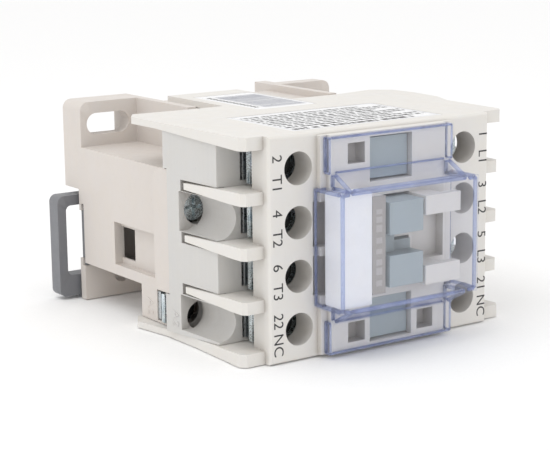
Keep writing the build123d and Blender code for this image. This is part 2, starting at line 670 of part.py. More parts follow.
def clamp_washers(side):
    return Compound([clamp_washer(side * SCREW_X, z, WASHER_Y, 10.8, 7.4) for z in POLE_Z])


COIL_HEAD_Y = 31.2


def coil_clamp_screws():
    screw = clamp_screw(-SIDE_SCREW_X, COIL_SCREW_Z, COIL_HEAD_Y, 2.9, 1.7, 42.0)
    return Compound([screw, half_turn(screw)])


def coil_clamp_washers():
    washer = clamp_washer(-SIDE_SCREW_X, COIL_SCREW_Z, COIL_HEAD_Y + 2.2, 6.4, 6.2)
    return Compound([washer, half_turn(washer)])


def housing_screws():
    screw = clamp_screw(-SIDE_SCREW_X, SIDE_SCREW_Z, SCREW_WELL_Y - 2.25, 2.9, 1.45, 42.0)
    return Compound([screw, half_turn(screw)])


# Contacts


def fixed_contact(side, z):
    """Z-shaped strip from a terminal screw down into the arc chamber."""
    wide = (z - STRIP_HALF_Z, z + STRIP_HALF_Z)
    narrow = (z - 2.6, z + 2.6)
    strip = block((-STRIP_OUTER_X, -STRIP_LEG_X + STRIP_T), (STRIP_Y, STRIP_Y + STRIP_T), wide)
    strip += block((-STRIP_LEG_X, -STRIP_LEG_X + STRIP_T), (STRIP_Y, STRIP_FOOT_Y + STRIP_T), narrow)
    strip += block((-STRIP_LEG_X, -STRIP_FOOT_X), (STRIP_FOOT_Y, STRIP_FOOT_Y + STRIP_T), narrow)
    strip -= rod_y(-SCREW_X, (5, 20), z, 1.75)
    return strip if side < 0 else mirror(strip, about=Plane.YZ)


def fixed_tip(number, side):
    """The silver button on a strip: behind it in the normally closed pole."""
    start = STRIP_FOOT_Y + STRIP_T if number == NC_POLE else STRIP_FOOT_Y - TIP_T
    return rod_y(side * TIP_X, (start, start + TIP_T), POLE_Z[number], TIP_R)


def fixed_tips(side):
    return Compound([fixed_tip(number, side) for number in range(4)])


def bridge_span(number):
    """Front and rear of a moving bridge at rest."""
    if number == NC_POLE:
        front = STRIP_FOOT_Y + STRIP_T + 2 * TIP_T
        return (front, front + BRIDGE_T)
    rear = STRIP_FOOT_Y - 2 * TIP_T - CONTACT_GAP
    return (rear - BRIDGE_T, rear)


def moving_bridge(number):
    z = POLE_Z[number]
    y = bridge_span(number)
    bar = block((-BRIDGE_HALF, BRIDGE_HALF), y, (z - BRIDGE_HALF_Z, z + BRIDGE_HALF_Z))
    return fillet(bar.edges().filter_by(Axis.Y), 1.0)


def bridge_tips(number):
    y = bridge_span(number)
    tip_y = (y[0] - TIP_T, y[0]) if number == NC_POLE else (y[1], y[1] + TIP_T)
    return Compound([rod_y(side * TIP_X, tip_y, POLE_Z[number], TIP_R) for side in (-1, 1)])


def carrier_window(number):
    """Front and rear of the window that a bridge and its spring sit in."""
    y = bridge_span(number)
    if number == NC_POLE:
        return (y[0] - STROKE + CONTACT_GAP - 0.02, y[1] + 5.8)
    return (y[0] - 5.7, y[1] + 0.01)


def contact_spring(number):
    y = bridge_span(number)
    window = carrier_window(number)
    span = (y[1] + 0.05, window[1] - 0.05) if number == NC_POLE else (window[0] + 0.05, y[0] - 0.05)
    spring = Rot(-90, 0, 0) * coil_spring(1.6, 0.25, span[1] - span[0], 4)
    return Pos(0, span[0], POLE_Z[number]) * spring


def carrier_front():
    """Parts of the carrier seen from the front: two end pads and the paired hooks."""
    pads = []
    for low in (2.1, WIDTH - 2.1 - 8.2):
        pads.append(block((-5.05, 5.05), (-1.2, 3.1), (low, low + 8.2)))
    for z in ((13.7, 20.1), (24.3, 30.8)):
        pads.append(block((-4.5, 4.0), (-7.7, 3.1), z))
    pads.append(block((-4.5, -0.9), (-4.6, 3.1), (20.0, 24.4)))
    pads.append(block((-4.5, 4.0), (-3.6, 3.1), (20.0, 22.1)))
    return pads


def contact_carrier():
    spine_z = (2.9, WIDTH - 2.9)
    carrier = block((-4.0, 4.0), (3.0, BASE_FRONT_Y + 0.2), spine_z)
    carrier += carrier_front()
    carrier += block((-9.0, 9.0), (CONTACT_REAR_Y + FIT, ARMATURE_FRONT_Y - FIT), (14.6, 30.4))
    for z in ((14.6, STACK_Z[0] - FIT), (STACK_Z[1] + FIT, 30.4)):
        carrier += block((-5.0, 5.0), (31.0, 35.8), z)
    for number, z in enumerate(POLE_Z):
        carrier -= block((-6, 6), carrier_window(number), (z - 2.5, z + 2.5))
    return carrier - rod_z(0, 33.7, (10, 35), 1.55)


def build_parts():
    parts = {
        "front_housing": front_housing(),
        "contact_housing": contact_housing(),
        "base_housing": base_housing(),
        "transparent_cover": transparent_cover(),
        "marker_plate": marker_plate(),
        "name_strip": name_strip(),
        "rating_label": label(RATING_LABEL),
        "serial_label": label(SERIAL_LABEL),
        "housing_screws": housing_screws(),
        "din_clip": din_clip(),
        "din_clip_spring": din_clip_spring(),
        "fixed_core": fixed_core(),
        "shading_rings": shading_rings(),
        "core_dampers": core_dampers(),
        "coil_bobbin": coil_bobbin(),
        "coil_winding": coil_winding(),
        "coil_terminal_a2": coil_terminal(),
        "coil_terminal_a1": half_turn(coil_terminal()),
        "coil_leads": Compound([coil_lead(), half_turn(coil_lead())]),
        "coil_clamp_screws": coil_clamp_screws(),
        "coil_clamp_washers": coil_clamp_washers(),
        "armature": armature(),
        "armature_pin": armature_pin(),
        "return_springs": return_springs(),
        "contact_carrier": contact_carrier(),
        "load_contact_tips": fixed_tips(-1),
        "line_contact_tips": fixed_tips(1),
        "load_terminal_screws": terminal_screws(-1),
        "line_terminal_screws": terminal_screws(1),
        "load_clamp_washers": clamp_washers(-1),
        "line_clamp_washers": clamp_washers(1),
    }
    for number, z in enumerate(POLE_Z):
        pole = f"pole_{number + 1}"
        parts[f"load_contact_{pole}"] = fixed_contact(-1, z)
        parts[f"line_contact_{pole}"] = fixed_contact(1, z)
        parts[f"moving_bridge_{pole}"] = moving_bridge(number)
        parts[f"bridge_tips_{pole}"] = bridge_tips(number)
        parts[f"contact_spring_{pole}"] = contact_spring(number)
    return parts


os.makedirs("parts", exist_ok=True)
for name, shape in build_parts().items():
    export_step(Pos(*SHIFT) * shape, f"parts/{name}.step")
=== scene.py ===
import json
import math
import random

import bmesh
import bpy
from mathutils import Matrix, Vector


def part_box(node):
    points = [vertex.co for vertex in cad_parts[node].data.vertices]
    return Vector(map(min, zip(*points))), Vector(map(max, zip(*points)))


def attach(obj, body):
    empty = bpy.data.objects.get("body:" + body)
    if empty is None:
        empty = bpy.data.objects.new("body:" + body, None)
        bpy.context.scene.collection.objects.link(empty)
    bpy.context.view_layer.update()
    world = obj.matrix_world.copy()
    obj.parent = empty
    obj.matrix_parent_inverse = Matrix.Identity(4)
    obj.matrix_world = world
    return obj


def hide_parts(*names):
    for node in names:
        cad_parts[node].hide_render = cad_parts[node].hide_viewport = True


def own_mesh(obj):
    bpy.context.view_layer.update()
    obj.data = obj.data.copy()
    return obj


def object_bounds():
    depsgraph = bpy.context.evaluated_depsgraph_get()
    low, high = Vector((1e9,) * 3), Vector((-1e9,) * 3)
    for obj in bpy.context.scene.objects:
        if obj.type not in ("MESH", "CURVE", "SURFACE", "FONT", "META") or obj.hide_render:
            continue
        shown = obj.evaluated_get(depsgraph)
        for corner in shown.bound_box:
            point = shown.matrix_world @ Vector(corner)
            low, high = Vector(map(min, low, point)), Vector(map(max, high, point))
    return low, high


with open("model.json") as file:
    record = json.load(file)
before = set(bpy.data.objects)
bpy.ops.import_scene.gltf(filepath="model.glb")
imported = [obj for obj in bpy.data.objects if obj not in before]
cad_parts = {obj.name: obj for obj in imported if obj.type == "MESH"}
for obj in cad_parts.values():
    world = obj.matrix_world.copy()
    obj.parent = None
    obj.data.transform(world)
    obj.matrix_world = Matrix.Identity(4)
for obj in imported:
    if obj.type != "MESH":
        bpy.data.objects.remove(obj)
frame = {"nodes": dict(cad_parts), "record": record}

cad_low, cad_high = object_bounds()
nodes = frame["nodes"]
MM = 0.001

# Soft edges of the moulded and stamped pieces, in metres
EDGE_PLASTIC = 0.00028
EDGE_FINE = 0.00012
EDGE_METAL = 0.00010
SHARP_ANGLE = math.radians(35)  # sharper edges than this are rounded
WELD_DISTANCE = 0.000002  # points closer than this are joined into one

# Reference planes, all taken from the frame
cover_low, cover_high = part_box("transparent_cover")
screw_low, screw_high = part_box("load_terminal_screws")
_, line_screw_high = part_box("line_terminal_screws")
contact_low, contact_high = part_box("contact_housing")
base_low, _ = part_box("base_housing")
label_low, label_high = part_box("rating_label")
sticker_low, sticker_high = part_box("serial_label")
strip_low, strip_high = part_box("name_strip")

SCREW_HEAD_R = 3.0 * MM
LOAD_X = screw_low.x + SCREW_HEAD_R
LINE_X = line_screw_high.x - SCREW_HEAD_R
FIRST_Z = screw_high.z - SCREW_HEAD_R
LAST_Z = screw_low.z + SCREW_HEAD_R
PITCH = (FIRST_Z - LAST_Z) / 3
POLE_Z = [FIRST_Z - PITCH * n for n in range(4)]
DECK_Y = cover_high.y + 0.1 * MM  # the cover ends just in front of the deck
CENTRE_X = (LOAD_X + LINE_X) / 2


# Materials


class Shader:
    """A Principled material and short calls for the nodes that feed it."""

    def __init__(self, name, colour, roughness, metallic=0.0):
        self.material = bpy.data.materials.new(name)
        self.material.use_nodes = True
        self.tree = self.material.node_tree
        self.main = self.tree.nodes["Principled BSDF"]
        self.main.inputs["Base Color"].default_value = (*colour, 1)
        self.main.inputs["Roughness"].default_value = roughness
        self.main.inputs["Metallic"].default_value = metallic
        self.coords = self.tree.nodes.new("ShaderNodeTexCoord").outputs["Object"]
        self.height = None

    def node(self, kind, **values):
        made = self.tree.nodes.new(kind)
        for name, value in values.items():
            setattr(made, name, value)
        return made

    def link(self, source, target):
        self.tree.links.new(source, target)

    def stretched(self, scale):
        mapping = self.node("ShaderNodeMapping")
        mapping.inputs["Scale"].default_value = scale
        self.link(self.coords, mapping.inputs["Vector"])
        return mapping.outputs["Vector"]

    def noise(self, scale, detail=3.0, rough=0.5, stretch=None):
        made = self.node("ShaderNodeTexNoise")
        made.inputs["Scale"].default_value = scale
        made.inputs["Detail"].default_value = detail
        made.inputs["Roughness"].default_value = rough
        self.link(self.stretched(stretch) if stretch else self.coords, made.inputs["Vector"])
        return made.outputs["Fac"]

    def waves(self, scale, axis, distortion=0.0):
        made = self.node("ShaderNodeTexWave", bands_direction=axis)
        made.inputs["Scale"].default_value = scale
        made.inputs["Distortion"].default_value = distortion
        self.link(self.coords, made.inputs["Vector"])
        return made.outputs["Fac"]

    def ramp(self, source, stops):
        made = self.node("ShaderNodeValToRGB")
        elements = made.color_ramp.elements
        while len(elements) < len(stops):
            elements.new(0.5)
        for element, (place, colour) in zip(elements, stops):
            element.position = place
            element.color = (*colour, 1)
        self.link(source, made.inputs["Fac"])
        return made.outputs["Color"]

    def spread(self, source, low, high, start=0.35, end=0.65):
        """source, which runs from start to end, as a number from low to high."""
        made = self.node("ShaderNodeMapRange")
        for name, value in zip(("From Min", "From Max", "To Min", "To Max"), (start, end, low, high)):
            made.inputs[name].default_value = value
        self.link(source, made.inputs["Value"])
        return made.outputs["Result"]

    def tint(self, factor, other):
        """Mixes the base colour so far towards another colour by factor."""
        mix = self.node("ShaderNodeMix", data_type="RGBA")
        base = self.main.inputs["Base Color"]
        if base.is_linked:
            self.link(base.links[0].from_socket, mix.inputs["A"])
        else:
            mix.inputs["A"].default_value = base.default_value
        mix.inputs["B"].default_value = (*other, 1)
        self.link(factor, mix.inputs["Factor"])
        self.link(mix.outputs["Result"], base)

    def bump(self, source, strength, distance):
        made = self.node("ShaderNodeBump")
        made.inputs["Strength"].default_value = strength
        made.inputs["Distance"].default_value = distance
        self.link(source, made.inputs["Height"])
        if self.height:
            self.link(self.height, made.inputs["Normal"])
        self.height = made.outputs["Normal"]
        self.link(self.height, self.main.inputs["Normal"])

    def rough(self, source, low, high):
        self.link(self.spread(source, low, high), self.main.inputs["Roughness"])


def shade(colour, factor):
    return tuple(c * factor for c in colour)


def painted_corner_shade(shader, strength, colour):
    """Painted shade: slightly darker, warmer plastic in corners and gaps, where ambient occlusion finds
    them.
    """
    hollow = shader.node("ShaderNodeAmbientOcclusion", samples=6, only_local=True)
    hollow.inputs["Distance"].default_value = 6.0 * MM
    factor = shader.spread(hollow.outputs["AO"], strength, 0.0, 0.20, 0.90)
    shader.tint(factor, colour)


def moulded(name, colour, roughness, grain=1.0, warmth=0.05, corner_shade=0.6):
    """Moulded plastic: spark-eroded grain, faint flow marks, specks, handling marks and painted shade in
    corners and gaps.
    """
    shader = Shader(name, colour, roughness)
    flow = shader.noise(70, 4, 0.55, (1, 1, 0.35))
    shader.tint(shader.spread(flow, 0.0, 0.5), shade(colour, 1 - warmth))
    cloud = shader.noise(260, 5, 0.6)
    warmer = (colour[0], colour[1] * 0.985, colour[2] * 0.955)
    shader.tint(shader.spread(cloud, 0.0, 0.6), warmer)
    specks = shader.noise(3200, 1, 0.5)
    shader.tint(shader.spread(specks, 0.0, 0.28, 0.72, 0.80), shade(colour, 0.55))
    # painted shade: darker, warmer plastic in corners and gaps, from ambient occlusion
    painted_corner_shade(shader, corner_shade, shade((colour[0], colour[1] * 0.93, colour[2] * 0.86), 0.45))
    shader.rough(shader.noise(500, 4, 0.6), roughness - 0.07, roughness + 0.09)
    shader.bump(shader.noise(5200, 2, 0.6), 0.10 * grain, 0.00006)
    shader.bump(shader.noise(900, 3, 0.5), 0.05 * grain, 0.00010)
    shader.main.inputs["Specular IOR Level"].default_value = 0.42
    shader.main.inputs["Subsurface Weight"].default_value = 0.04
    shader.main.inputs["Subsurface Radius"].default_value = (0.0012, 0.0010, 0.0008)
    shader.main.inputs["Subsurface Scale"].default_value = 1.0
    return shader


def drawn_plastic(name, colour, roughness):
    """The contact housing: cooler, with fine upright tool marks left by the mould and strong painted
    shade in corners and gaps.
    """
    shader = moulded(name, colour, roughness, 0.8, 0.035, 0.85)
    lines = shader.noise(900, 2, 0.7, (1.0, 1.0, 0.03))
    shader.tint(shader.spread(lines, 0.0, 0.35), shade(colour, 0.94))
    shader.bump(lines, 0.08, 0.00008)
    return shader


def zinc(name, colour, roughness):
    """Blue-passivated zinc plate with brushed streaks and a faint iridescent cast."""
    shader = Shader(name, colour, roughness, 0.72)
    streaks = shader.noise(620, 2, 0.6, (1.0, 1.0, 0.25))
    shader.tint(shader.spread(streaks, 0.0, 0.85, 0.50, 0.66), (0.12, 0.20, 0.26))
    cast = shader.noise(420, 2, 0.5)
    shader.tint(shader.spread(cast, 0.0, 0.35), (0.86, 0.90, 0.84))
    pits = shader.noise(4200, 2, 0.5)
    shader.rough(pits, roughness - 0.10, roughness + 0.14)
    shader.bump(streaks, 0.20, 0.00008)
    return shader


def painted_shade_zinc(name, colour):
    """The same plate deep in a screw well: rougher, with a darker base colour and near-black painted
    shade from ambient occlusion in the dark of the well.
    """
    shader = zinc(name, colour, 0.42)
    # painted shade: near black where ambient occlusion finds the well round the screw
    hollow = shader.node("ShaderNodeAmbientOcclusion", samples=6)
    hollow.inputs["Distance"].default_value = 8.0 * MM
    shader.tint(shader.spread(hollow.outputs["AO"], 0.96, 0.0, 0.25, 1.0), (0.012, 0.011, 0.010))
    return shader


def plain_metal(name, colour, roughness, axis, lines):
    """Stamped or ground metal with even lines along one axis."""
    shader = Shader(name, colour, roughness, 1.0)
    shader.tint(shader.spread(shader.noise(350, 4, 0.6), 0.0, 0.5), shade(colour, 0.72))
    wave = shader.waves(lines, axis, 1.2)
    shader.bump(wave, 0.18, 0.00006)
    shader.rough(shader.noise(1500, 3, 0.5), roughness - 0.08, roughness + 0.12)
    return shader


def laminated(name, colour):
    """Stacked core sheets: dark seams every half millimetre, a little rust at the seams."""
    shader = Shader(name, colour, 0.42, 1.0)
    seams = shader.waves(320, "Z", 0.3)
    shader.tint(shader.spread(seams, 0.0, 0.8, 0.7, 0.95), (0.05, 0.045, 0.04))
    rust = shader.noise(600, 5, 0.7)
    shader.tint(shader.spread(rust, 0.0, 0.35, 0.58, 0.75), (0.28, 0.15, 0.08))
    shader.bump(seams, 0.5, 0.00008)
    return shader


def wound(name, colour):
    """Enamelled wire laid in turns round the bobbin; the dark bands between turns are painted shade in
    the grooves.
    """
    shader = Shader(name, colour, 0.28, 0.85)
    turns_and_groove_shade = shader.waves(700, "Y", 0.6)
    # painted shade: dark bands in the grooves between the turns
    shader.tint(shader.spread(turns_and_groove_shade, 0.0, 0.7, 0.1, 0.6), shade(colour, 0.35))
    shader.bump(turns_and_groove_shade, 0.8, 0.00012)
    shader.main.inputs["Coat Weight"].default_value = 0.6
    return shader


def clear_plastic(name, face_on, edge_on, body, body_share):
    """Thin clear moulding: tinted more where it is seen edge on, glossy on its outer side."""
    shader = Shader(name, body, 0.12)
    grazing = shader.node("ShaderNodeLayerWeight")
    grazing.inputs["Blend"].default_value = 0.35
    clear = shader.node("ShaderNodeBsdfTransparent")
    tinted = shader.ramp(grazing.outputs["Facing"], [(0.30, face_on), (0.95, edge_on)])
    shader.link(tinted, clear.inputs["Color"])
    gloss = shader.node("ShaderNodeBsdfGlossy")
    haze = shader.noise(160, 4, 0.6, (1, 1, 0.3))
    shader.link(shader.spread(haze, 0.03, 0.10), gloss.inputs["Roughness"])
    sides = shader.node("ShaderNodeNewGeometry")
    outer = shader.node("ShaderNodeMath", operation="MULTIPLY")
    front = shader.node("ShaderNodeMath", operation="SUBTRACT")
    front.inputs[0].default_value = 1.0
    shader.link(sides.outputs["Backfacing"], front.inputs[1])
    shader.link(front.outputs[0], outer.inputs[0])
    shader.link(shader.spread(grazing.outputs["Fresnel"], 0.02, 0.45, 0.0, 1.0), outer.inputs[1])
    shiny = shader.node("ShaderNodeMixShader")
    shader.link(outer.outputs[0], shiny.inputs[0])
    shader.link(clear.outputs["BSDF"], shiny.inputs[1])
    shader.link(gloss.outputs["BSDF"], shiny.inputs[2])
    milky = shader.node("ShaderNodeMixShader")
    cloud = shader.noise(420, 3, 0.6)
    shader.link(shader.spread(cloud, body_share * 0.7, body_share * 1.3), milky.inputs[0])
    shader.link(shiny.outputs["Shader"], milky.inputs[1])
    shader.link(shader.main.outputs["BSDF"], milky.inputs[2])
    shader.link(milky.outputs["Shader"], shader.tree.nodes["Material Output"].inputs["Surface"])
    shader.tint(shader.spread(cloud, 0.0, 0.6), (0.80, 0.83, 0.97))
    scratches = shader.noise(2400, 2, 0.8, (0.05, 1.0, 1.0))
    shader.bump(scratches, 0.05, 0.00003)
    return shader


def rubber(name):
    shader = Shader(name, (0.035, 0.035, 0.035), 0.75)
    shader.tint(shader.spread(shader.noise(900, 4, 0.6), 0.0, 0.6), (0.075, 0.07, 0.065))
    shader.bump(shader.noise(3000, 3, 0.6), 0.4, 0.00010)
    return shader


def paper(name, colour, roughness):
    """Printed film: faint fibres and a soft sheen."""
    shader = Shader(name, colour, roughness)
    shader.tint(shader.spread(shader.noise(2600, 3, 0.7), 0.0, 0.4), shade(colour, 0.93))
    shader.bump(shader.noise(1800, 4, 0.6), 0.08, 0.00004)
    shader.rough(shader.noise(300, 3, 0.5), roughness - 0.08, roughness + 0.08)
    return shader


def ink(name, colour):
    """Printing ink, a little worn so that the plastic shows through in specks."""
    shader = Shader(name, colour, 0.55)
    worn = shader.noise(2600, 3, 0.7)
    shader.tint(shader.spread(worn, 0.0, 0.5, 0.60, 0.75), (0.45, 0.44, 0.43))
    shader.bump(shader.noise(4000, 2, 0.5), 0.1, 0.00003)
    return shader


MATERIALS = {
    # housing_front and housing_base end with the strength of their painted shade in corners and gaps
    "housing_front": moulded("front_plastic", (0.745, 0.725, 0.695), 0.47, 1.0, 0.05, 0.80),
    "housing_contact": drawn_plastic("contact_plastic", (0.615, 0.605, 0.590), 0.42),
    "housing_base": moulded("base_plastic", (0.665, 0.62, 0.585), 0.50, 1.0, 0.05, 0.15),
    "marker_white": moulded("marker_plastic", (0.90, 0.905, 0.91), 0.38, 0.5, 0.02),
    "strip_grey": moulded("strip_plastic", (0.40, 0.375, 0.35), 0.5),
    "label": paper("label_film", (0.86, 0.86, 0.87), 0.35),
    "cover_clear": clear_plastic(
        "clear_cover", (0.975, 0.978, 0.992), (0.80, 0.83, 0.96), (0.80, 0.83, 0.95), 0.03
    ),
    "carrier_grey": moulded("carrier_plastic", (0.385, 0.445, 0.465), 0.40, 0.7, 0.06),
    "clip_grey": moulded("clip_plastic", (0.20, 0.205, 0.222), 0.48, 1.2, 0.12),
    "zinc_steel": zinc("zinc_plate", (0.80, 0.88, 0.92), 0.28),
    "spring_steel": plain_metal("spring_wire", (0.48, 0.49, 0.50), 0.30, "X", 900),
    "core_steel": laminated("core_sheets", (0.36, 0.36, 0.37)),
    "contact_plated": plain_metal("plated_strip", (0.55, 0.58, 0.60), 0.30, "Z", 700),
    "contact_silver": plain_metal("silver_tip", (0.88, 0.87, 0.84), 0.22, "Z", 1500),
    "ring_copper": plain_metal("copper_ring", (0.72, 0.36, 0.20), 0.30, "Z", 900),
    "winding_copper": wound("copper_winding", (0.55, 0.20, 0.08)),
    "bobbin_black": moulded("bobbin_plastic", (0.030, 0.030, 0.034), 0.45),
    "damper_rubber": rubber("damper_rubber"),
}
COVER_RIM = clear_plastic(
    "cover_rim", (0.80, 0.84, 0.95), (0.56, 0.62, 0.83), (0.46, 0.53, 0.78), 0.16
)
# A darker copy of the zinc plate with painted shade, for the screws deep in their wells
PAINTED_SHADE_ZINC = painted_shade_zinc("painted_shade_zinc", (0.30, 0.34, 0.36))
SHADE_PAINTED_SCREWS = ("load_terminal_screws", "line_terminal_screws", "coil_clamp_screws")  # screws in wells
BLACK_INK = ink("black_ink", (0.025, 0.024, 0.025))
GREY_INK = ink("grey_ink", (0.40, 0.41, 0.46))

SOFT_EDGES = {
    "housing_front": EDGE_PLASTIC,
    "housing_contact": EDGE_PLASTIC,
    "housing_base": EDGE_PLASTIC,
    "marker_white": EDGE_PLASTIC,
    "strip_grey": EDGE_FINE,
    "cover_clear": EDGE_FINE,
    "carrier_grey": EDGE_PLASTIC,
    "clip_grey": EDGE_PLASTIC,
    "zinc_steel": EDGE_METAL,
    "contact_plated": EDGE_METAL,
    "bobbin_black": EDGE_FINE,
}


def soften(node, width):
    """Rounds the sharp edges of a node with modifiers alone."""
    weld = node.modifiers.new("weld", "WELD")
    weld.merge_threshold = WELD_DISTANCE
    bevel = node.modifiers.new("soft_edges", "BEVEL")
    bevel.width = width
    bevel.segments = 2
    bevel.limit_method = "ANGLE"
    bevel.angle_limit = SHARP_ANGLE
    bevel.use_clamp_overlap = True
    bevel.miter_outer = "MITER_ARC"
    node.modifiers.new("even_normals", "WEIGHTED_NORMAL").keep_sharp = False


def finish_nodes():
    """Gives every CAD node its material and its soft edges."""
    slots = {entry["node"]: entry["material_slot"] for entry in frame["record"]["subparts"]}
    for name, node in nodes.items():
        slot = slots[name]
        for place in node.material_slots:
            place.link = "OBJECT"
            place.material = (PAINTED_SHADE_ZINC if name in SHADE_PAINTED_SCREWS else MATERIALS[slot]).material
        if slot in SOFT_EDGES:
            for face in node.data.polygons:
                face.use_smooth = True
            soften(node, SOFT_EDGES[slot])


# Pieces that only the eye needs: print, embossing and small moulded details


def add_mesh(name, mesh, shader, body="root"):
    piece = bpy.data.objects.new(name, mesh)
    bpy.context.scene.collection.objects.link(piece)
    mesh.materials.clear()
    mesh.materials.append(shader.material)
    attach(piece, body)
    return piece


def axes_matrix(right, up, origin):
    right, up = Vector(right), Vector(up)
    out = right.cross(up)
    turn = Matrix((right, up, out)).transposed().to_4x4()
    return Matrix.Translation(origin) @ turn


def lettering(name, lines, place, size, depth, shader, gap=1.0):
    """Mesh lettering; lines holds (text, offset along the reading direction)."""
    built = bmesh.new()
    for text, offset in lines:
        curve = bpy.data.curves.new(name, "FONT")
        curve.body = text
        curve.size = size
        curve.extrude = depth
        curve.align_x = "CENTER"
        curve.align_y = "CENTER"
        curve.space_character = gap
        holder = bpy.data.objects.new(name, curve)
        bpy.context.scene.collection.objects.link(holder)
        bpy.context.view_layer.update()
        mesh = bpy.data.meshes.new_from_object(holder)
        mesh.transform(Matrix.Translation((offset, 0, 0)))
        built.from_mesh(mesh)
        bpy.data.objects.remove(holder)
    bmesh.ops.transform(built, matrix=place, verts=built.verts)
    mesh = bpy.data.meshes.new(name)
    built.to_mesh(mesh)
    built.free()
    return add_mesh(name, mesh, shader)


READ_DOWN = (0, 0, -1)
READ_UP = (0, 0, 1)
PRINT_DEPTH = 0.012 * MM
PRINT_LIFT = 0.012 * MM  # flat print stands this far off its label
LETTER_SIZE = 3.2 * MM
LOAD_MARK_OUT = 5.1 * MM  # from the middle of a screw to the middle of its letters
LINE_MARK_OUT = 5.3 * MM
NUMBER_BEFORE = 2.3 * MM  # the number stands this far before the middle of the pole
LETTERS_AFTER = 2.5 * MM
RAISED_SIZE = 3.1 * MM
RAISED_DEPTH = 0.10 * MM
RAISED_GAP = 1.1  # letter spacing


def deck_marks():
    """Terminal numbers beside the screw holes, reading down the deck."""
    load = [("2", "T1"), ("4", "T2"), ("6", "T3"), ("22", "NC")]
    line = [("1", "L1"), ("3", "L2"), ("5", "L3"), ("21", "NC")]
    sides = (("load", load, LOAD_X - LOAD_MARK_OUT), ("line", line, LINE_X + LINE_MARK_OUT))
    for side, names, x in sides:
        for pole, (number, letters) in enumerate(names):
            place = axes_matrix(READ_DOWN, (1, 0, 0), (x, DECK_Y, POLE_Z[pole]))
            lines = [(number, -NUMBER_BEFORE), (letters, LETTERS_AFTER)]
            name = f"mark_{side}_{pole + 1}"
            lettering(name, lines, place, LETTER_SIZE, PRINT_DEPTH, BLACK_INK)


def embossed_marks():
    """Raised coil terminal numbers: A2 on the load side, A1 by a half turn on the line side."""
    contact_face = 0.18 * MM  # in from the widest point of the slightly tapered side
    base_face = 1.9 * MM  # the wall lies behind the latch tongue
    contact_x, contact_y = contact_low.x + contact_face, contact_high.y - 3.3 * MM
    base_x, base_y = base_low.x + base_face, base_low.y + 11.2 * MM
    spots = (
        ("contact", contact_x, contact_y, 4.9 * MM, "housing_contact"),
        ("base", base_x, base_y, 4.4 * MM, "housing_base"),
    )
    for name, x, y, z, slot in spots:
        opposite = (2 * CENTRE_X - x, y, cad_low.z + cad_high.z - z)
        marks = (("A2", READ_DOWN, (x, y, z)), ("A1", READ_UP, opposite))
        for text, reading, spot in marks:
            place = axes_matrix(reading, (0, -1, 0), spot)
            piece_name = f"emboss_{text.lower()}_{name}"
            lettering(
                piece_name, [(text, 0)], place, RAISED_SIZE, RAISED_DEPTH, MATERIALS[slot], RAISED_GAP
            )


def flat_bars(name, bars, z, shader):
    """Thin rectangles of print on the upper side; bars holds (x0, x1, y0, y1)."""
    built = bmesh.new()
    for x0, x1, y0, y1 in bars:
        corners = [(x0, y0), (x1, y0), (x1, y1), (x0, y1)]
        built.faces.new([built.verts.new((x, y, z)) for x, y in corners])
    mesh = bpy.data.meshes.new(name)
    built.to_mesh(mesh)
    built.free()
    return add_mesh(name, mesh, shader)


def unreadable_row(random_source, start, end, y, height):
    """One row of dashes the length of short words and figures."""
    bars = []
    x = start
    while x < end:
        length = random_source.uniform(0.35, 1.25) * height
        bars.append((x, min(x + length, end), y, y + height * random_source.uniform(0.75, 1.0)))
        wide = random_source.random() < 0.25
        x += length + height * (0.55 if wide else 0.22)
    return bars


def rating_print():
    """Rows of small unreadable print and a ruled frame on the rating label."""
    source = random.Random(7)
    z = label_high.z + PRINT_LIFT
    margin = 1.4 * MM
    first_row, row_gap = 1.2 * MM, 0.95 * MM
    short_share = 0.86  # every third row ends here
    x0, x1 = label_low.x + margin, label_high.x - margin
    rows = []
    heights = [1.9, 1.25, 1.0, 1.0, 1.0, 1.0, 1.25, 1.0, 1.0, 1.0]
    y = label_low.y + first_row
    for number, height in enumerate(heights):
        reach = x1 if number % 3 else x0 + (x1 - x0) * short_share
        rows += unreadable_row(source, x0, reach, y, height * MM)
        y += height * MM + row_gap
    flat_bars("rating_print", rows, z, BLACK_INK)
    rule = 0.10 * MM
    left, right = x0 - 0.7 * MM, x1 + 0.7 * MM
    low, high = label_low.y + 0.5 * MM, label_high.y - 0.6 * MM
    frame_bars = [
        (left, right, low, low + rule),
        (left, right, high, high + rule),
        (left, left + rule, low, high),
        (right, right + rule, low, high),
    ]
    flat_bars("rating_frame", frame_bars, z, GREY_INK)


def barcode_print():
    """Random bars and a row of blocks in place of figures, which encode nothing."""
    source = random.Random(3)
    z = sticker_high.z + PRINT_LIFT
    x0, x1 = sticker_low.x + 3.4 * MM, sticker_high.x - 1.0 * MM
    bars = []
    y = sticker_low.y + 2.2 * MM
    while y < sticker_high.y - 3.0 * MM:
        thickness = source.choice((0.22, 0.35, 0.5, 0.75)) * MM
        bars.append((x0, x1, y, y + thickness))
        y += thickness + source.choice((0.2, 0.3, 0.45)) * MM
    flat_bars("barcode_bars", bars, z, GREY_INK)
    x0, x1 = sticker_low.x + 1.2 * MM, sticker_low.x + 2.4 * MM
    block, block_pitch = 0.75 * MM, 1.35 * MM
    digits = []
    y = sticker_low.y + 3.0 * MM
    while y < sticker_high.y - 4.0 * MM:
        digits.append((x0, x1, y, y + block))
        y += block_pitch
    flat_bars("barcode_digits", digits, z, BLACK_INK)


